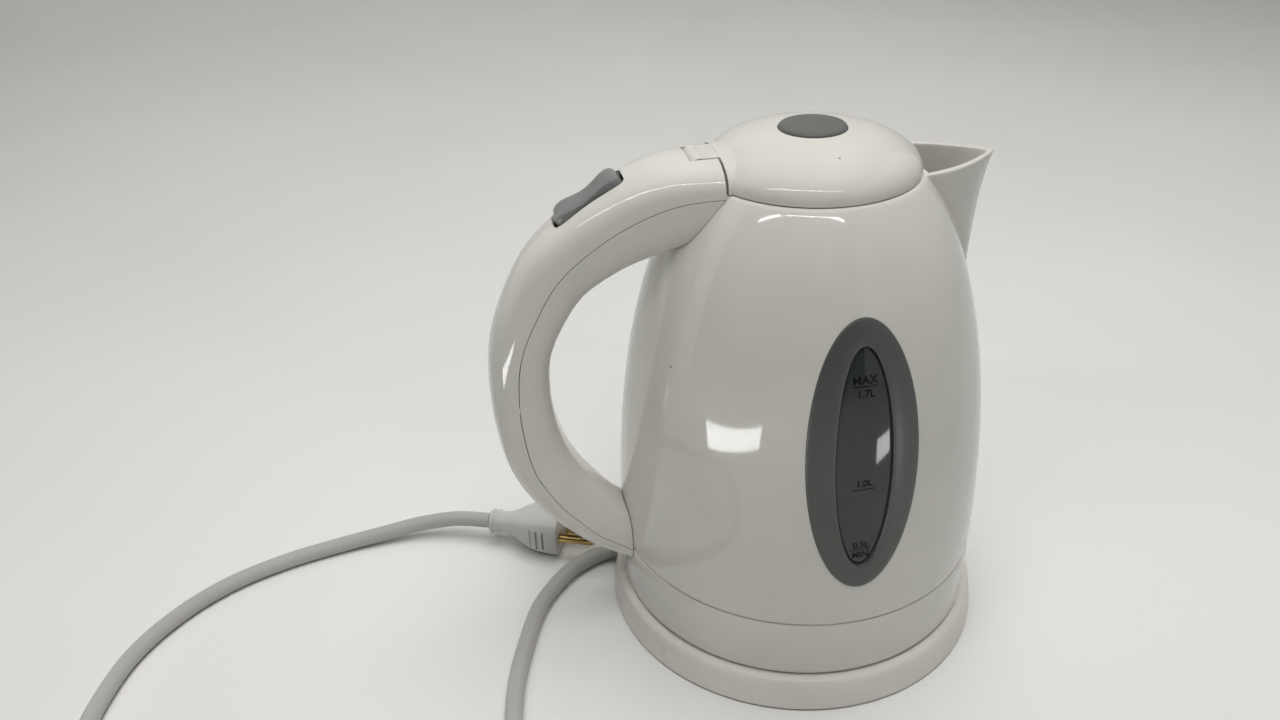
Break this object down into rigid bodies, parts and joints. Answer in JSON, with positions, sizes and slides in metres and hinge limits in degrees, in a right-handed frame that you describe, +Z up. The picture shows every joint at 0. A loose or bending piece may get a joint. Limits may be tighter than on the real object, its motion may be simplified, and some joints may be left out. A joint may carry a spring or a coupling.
{
  "type": "electric kettle",
  "caption": "Cordless jug kettle on a round power base: hinged lid with push button, rocker switch in the handle, oval water windows, beak spout and moulded mains lead.",
  "frame": {"origin": "on the jug's axis at table level, in the middle of the flat underside of the base's hub", "axes": "+Z up along the jug's axis, +X towards the spout, -X towards the handle, -Y towards the user-side water window"},
  "size_m": [0.4169, 0.2769, 0.2315],
  "materials": {
    "white": "gloss",
    "base_white": "semi-gloss",
    "inner_white": "satin",
    "cord_white": "satin",
    "bezel_grey": "satin",
    "button_grey": "satin",
    "window_smoke": "clear gloss",
    "rocker_smoke": "clear gloss",
    "silicone": "matt",
    "rubber": "matt",
    "black_plastic": "matt",
    "steel": "brushed",
    "aluminium": "satin",
    "brass": "bright",
    "lamp_glass": "clear"
  },
  "bodies": {
    "base": {"base_cover": "base_white", "base_hub": "base_white", "base_foot_1": "rubber", "base_foot_2": "rubber", "base_foot_3": "rubber", "base_foot_4": "rubber", "base_screw_1": "steel", "base_screw_2": "steel", "base_screw_3": "steel", "base_connector": "black_plastic", "base_centre_contact": "brass", "base_ring_contact": "brass", "strain_relief": "cord_white", "mains_cord": "cord_white", "plug_body": "cord_white", "plug_blade_lower": "brass", "plug_blade_upper": "brass", "plug_earth_pin": "brass"},
    "jug": {"body_shell": "white", "near_window_bezel": "bezel_grey", "near_window_lens": "window_smoke", "far_window_bezel": "bezel_grey", "far_window_lens": "window_smoke", "bottom_cover": "white", "cover_screw_1": "steel", "cover_screw_2": "steel", "cover_screw_3": "steel", "plate_clamp_ring": "inner_white", "heating_plate": "steel", "plate_seal": "silicone", "heating_element": "aluminium", "jug_control": "black_plastic", "jug_connector": "black_plastic", "jug_centre_pin": "brass", "jug_ring_contact": "brass", "filter_frame": "inner_white", "filter_mesh": "silicone", "handle_outer": "white", "handle_inner": "white", "lid_hinge_pin": "steel", "rocker_pin": "steel", "switch_housing": "black_plastic", "bimetal_disc": "brass", "pilot_lamp": "lamp_glass", "switch_harness": "cord_white"},
    "lid": {"lid_dome": "white", "lid_liner": "inner_white", "lid_seal": "silicone", "button_spring": "steel"},
    "button": {"lid_button": "button_grey"},
    "latch_near": {"latch_bolt_near": "inner_white"},
    "latch_far": {"latch_bolt_far": "inner_white"},
    "rocker": {"rocker_button": "rocker_smoke"}
  },
  "joints": [
    {"name": "jug_lift", "type": "slide", "parent": "base", "child": "jug", "axis": [0, 0, 1], "range_m": [0, 0.06]},
    {"name": "lid_hinge", "type": "hinge", "parent": "jug", "child": "lid", "pos_m": [-0.0474, 0, 0.2211], "axis": [0, -1, 0], "range_deg": [0, 80]},
    {"name": "button_press", "type": "slide", "parent": "lid", "child": "button", "axis": [0, 0, -1], "range_m": [0, 0.003], "stiffness_N_per_m": 300, "springref_m": -0.004, "deforming": ["button_spring"]},
    {"name": "latch_near_slide", "type": "slide", "parent": "lid", "child": "latch_near", "axis": [0, 1, 0], "range_m": [0, 0.0025]},
    {"name": "latch_far_slide", "type": "slide", "parent": "lid", "child": "latch_far", "axis": [0, -1, 0], "range_m": [0, 0.0025]},
    {"name": "rocker_tilt", "type": "hinge", "parent": "jug", "child": "rocker", "pos_m": [-0.08792, 0, 0.20579], "axis": [0, 1, 0], "range_deg": [0, 12]}
  ],
  "couplings": [
    {"joint": "latch_near_slide", "follows": "button_press", "ratio": 0.8},
    {"joint": "latch_far_slide", "follows": "button_press", "ratio": 0.8}
  ]
}
